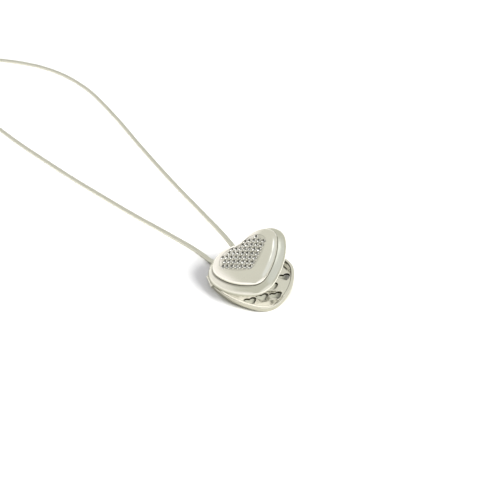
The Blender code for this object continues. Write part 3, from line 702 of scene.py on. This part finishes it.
def make_dome(silver):
    shoulder = [cover_ring(*s) for s in DOME_PROFILE[:DOME_RINGS]]
    last = shoulder[-1][:, :2]
    pave = pave_outline()
    top = []
    for t in np.linspace(0, 1, CROWN_RINGS + 1)[1:]:
        flat = last * (1 - t) + pave * t
        top.append(np.column_stack([flat, dome_height(from_outline(flat))]))
    recess = np.column_stack([pave, top[-1][:, 2] - RECESS_DEPTH])
    hollow = [cover_ring(*s) for s in DOME_HOLLOW]
    dome = lofted("dome", [recess] + top[::-1] + shoulder[::-1] + hollow, caps=(True, True))
    recess_top = recess[:, 2].max() + MESH_SLACK

    # painted shade on the recess's walls round the pave, and painted shade with some patina at the dome's
    # foot
    def shade_patina(p):
        foot = (from_outline(p) < DOME_FOOT[0]) & (p[:, 2] < COVER_BASE + DOME_FOOT[1])
        return np.where(from_pave(p) < MESH_SLACK, p[:, 2] < recess_top, seam_dark(p) * foot)

    paint_shade_and_patina(dome, shade_patina)
    dome.transform(opened())
    add_piece("dome", dome, silver, COVER, ["cover_dome"])


# ---------------------------------------------------------------- pave
def inside(x, y, outline):
    hit = False
    for (ax, ay), (bx, by) in zip(outline, outline[1:] + outline[:1]):
        if (ay > y) != (by > y) and x < ax + (y - ay) / (by - ay) * (bx - ax):
            hit = not hit
    return hit


def stone_places():
    """Square lattice turned 45 degrees, kept where a whole stone fits inside the pave outline."""
    edge = heart(**PAVE, inset=STONE_RADIUS)
    lattice = [((i - j) * STONE_STEP, FIRST_STONE_Y + (i + j) * STONE_STEP)
               for i in range(STONE_ROWS) for j in range(STONE_ROWS)]
    return [spot for spot in lattice if inside(*spot, edge)]


def bead_places(stones):
    """The lattice's gaps: half way between stones, inside the pave outline."""
    around = ((STONE_STEP, 0), (-STONE_STEP, 0), (0, STONE_STEP), (0, -STONE_STEP))
    spots = {(round(x + dx, 3), round(y + dy, 3)) for x, y in stones for dx, dy in around}
    edge = heart(**PAVE, inset=BEAD_MARGIN)
    return sorted(s for s in spots if inside(*s, edge))


def brilliant(bm, centre, radius, turn):
    """Round brilliant: table, crown, girdle and pavilion as the hull of its corners."""
    verts = []
    for reach, height, count, shift in BRILLIANT:
        for i in range(count):
            angle = turn + 2 * pi * (i + shift) / count
            x = centre[0] + radius * reach * cos(angle)
            y = centre[1] + radius * reach * sin(angle)
            verts.append(bm.verts.new((x, y, centre[2] + radius * height)))
    hull = bmesh.ops.convex_hull(bm, input=verts)
    loose = [v for v in hull["geom_interior"] if isinstance(v, bmesh.types.BMVert)]
    bmesh.ops.delete(bm, geom=loose, context="VERTS")


def opened_mesh(name, bm):
    """Mesh from a bmesh in millimetres, turned with the open cover."""
    bmesh.ops.scale(bm, vec=(MM, MM, MM), verts=bm.verts)
    mesh = bpy.data.meshes.new(name)
    bm.to_mesh(mesh)
    bm.free()
    mesh.transform(opened())
    return mesh


def make_stones(places, stone):
    rng = np.random.default_rng(7)
    bm = bmesh.new()
    for (x, y), z in zip(places, dome_height(from_outline(np.array(places)))):
        brilliant(bm, (x, y, z - STONE_SINK), STONE_RADIUS, rng.uniform(0, pi))
    mesh = opened_mesh("pave_brilliants", bm)
    add_piece("pave_brilliants", mesh, stone, COVER, ["pave_stones"], smooth=radians(1))


def make_seat(places, silver):
    """Drilled plate that follows the dome's top."""
    outline = [tuple(p) for p in pave_outline(FIT)]
    holes = [arc(x, y, STONE_RADIUS * SEAT_HOLE, 0, 2 * pi, 20) for x, y in places]
    seat = filled_outline("pave_plate", [outline] + holes, -SEAT_THICK, 0.0, SEAT_EDGE)
    co = np.empty(len(seat.vertices) * 3)
    seat.vertices.foreach_get("co", co)
    co = co.reshape(-1, 3) / MM
    co[:, 2] += dome_height(from_outline(co)) - SEAT_SINK
    seat.vertices.foreach_set("co", (co * MM).ravel())
    # painted shade on the seat between the stones
    paint_shade_and_patina(seat, lambda p: from_pave(p) > SEAT_SHADE_FROM, SEAT_SHADE)
    seat.transform(opened())
    add_piece("pave_plate", seat, silver, COVER, ["pave_seat"])


def make_beads(places, silver):
    spots = bead_places(places)
    bm = bmesh.new()
    for (x, y), z in zip(spots, dome_height(from_outline(np.array(spots)))):
        made = bmesh.ops.create_icosphere(bm, subdivisions=2, radius=BEAD_RADIUS)
        bmesh.ops.translate(bm, vec=(x, y, z), verts=made["verts"])
    add_piece("pave_beads", opened_mesh("pave_beads", bm), silver, COVER)


# ---------------------------------------------------------------- chain
def coil_route():
    """Three turns, clockwise seen from above: outer, inner, then one in the groove on top of them."""
    turns = [(COIL_RADIUS + CHAIN_RADIUS, 0.0), (COIL_RADIUS - CHAIN_RADIUS, 0.0), (COIL_RADIUS, TURN_RISE)]
    base = COIL_LIFT + CHAIN_RADIUS
    points = []
    for k, (radius, rise) in enumerate(turns):
        next_radius, next_rise = turns[min(k + 1, 2)]
        for i in range(TURN_STEPS):
            t = i / TURN_STEPS
            ease = max(0.0, (t - STEP_OVER_FROM) / (1 - STEP_OVER_FROM))
            ease = ease * ease * (3 - 2 * ease)
            r = radius + (next_radius - radius) * ease
            z = base + rise + (next_rise - rise) * ease
            points.append((COIL_X + r * cos(-2 * pi * t), COIL_Y + r * sin(-2 * pi * t), z))
    return points


def snake_tube(name, path):
    """Tube with the fine wavy cross ribs of a snake chain."""
    p = np.asarray(path)
    tangent = np.gradient(p, axis=0)
    tangent /= np.linalg.norm(tangent, axis=1)[:, None]
    angles = 2 * pi * np.arange(TUBE_SIDES) / TUBE_SIDES
    side = np.cross(tangent, (0.0, 0.0, 1.0))
    side /= np.linalg.norm(side, axis=1)[:, None]
    top = np.cross(side, tangent)
    swell = np.array(RIB_SWELL)[np.arange(len(p)) % len(RIB_SWELL)]
    rings = p[:, None] + CHAIN_RADIUS * swell[:, None, None] * (
        side[:, None] * np.cos(angles)[None, :, None] + top[:, None] * np.sin(angles)[None, :, None])
    return lofted(name, list(rings), caps=(True, True))


def make_chain(mat):
    step = LINK_PITCH / len(RIB_SWELL)
    left = smooth_route(LEFT_ROUTE, step)
    right = smooth_route(RIGHT_ROUTE + coil_route() + TAIL_ROUTE, step)
    pieces = [add_piece(name, snake_tube(name, path), mat, BACK, nodes)
              for name, path, nodes in (("strand_left", left, ["chain_left"]),
                                        ("strand_right", right, ["chain_right", "chain_coil", "chain_tail"]))]
    return pieces


# ---------------------------------------------------------------- build
make_camera()
SILVER = metal("polished_silver", **SILVER_LOOK)
SATIN = metal("satin_silver", **SATIN_LOOK)
CHAIN = metal("snake_chain", **CHAIN_LOOK)
STONE = gem()
THREAD = thread()
STRANDS = make_chain(CHAIN)
make_rim(SILVER)
make_plate(SILVER)
make_bezel(SATIN)
make_dome(SILVER)
STONES = stone_places()
make_stones(STONES, STONE)
make_seat(STONES, SILVER)
make_beads(STONES, SILVER)
for node, obj in frame["nodes"].items():
    obj.data.materials.clear()
    obj.data.materials.append(THREAD if node == "coil_tie" else SILVER)
make_floor()
make_world()
without_shadow(area_light("key", *KEY), STRANDS)
area_light("fill", *FILL)
bpy.context.scene.view_settings.view_transform = "Standard"
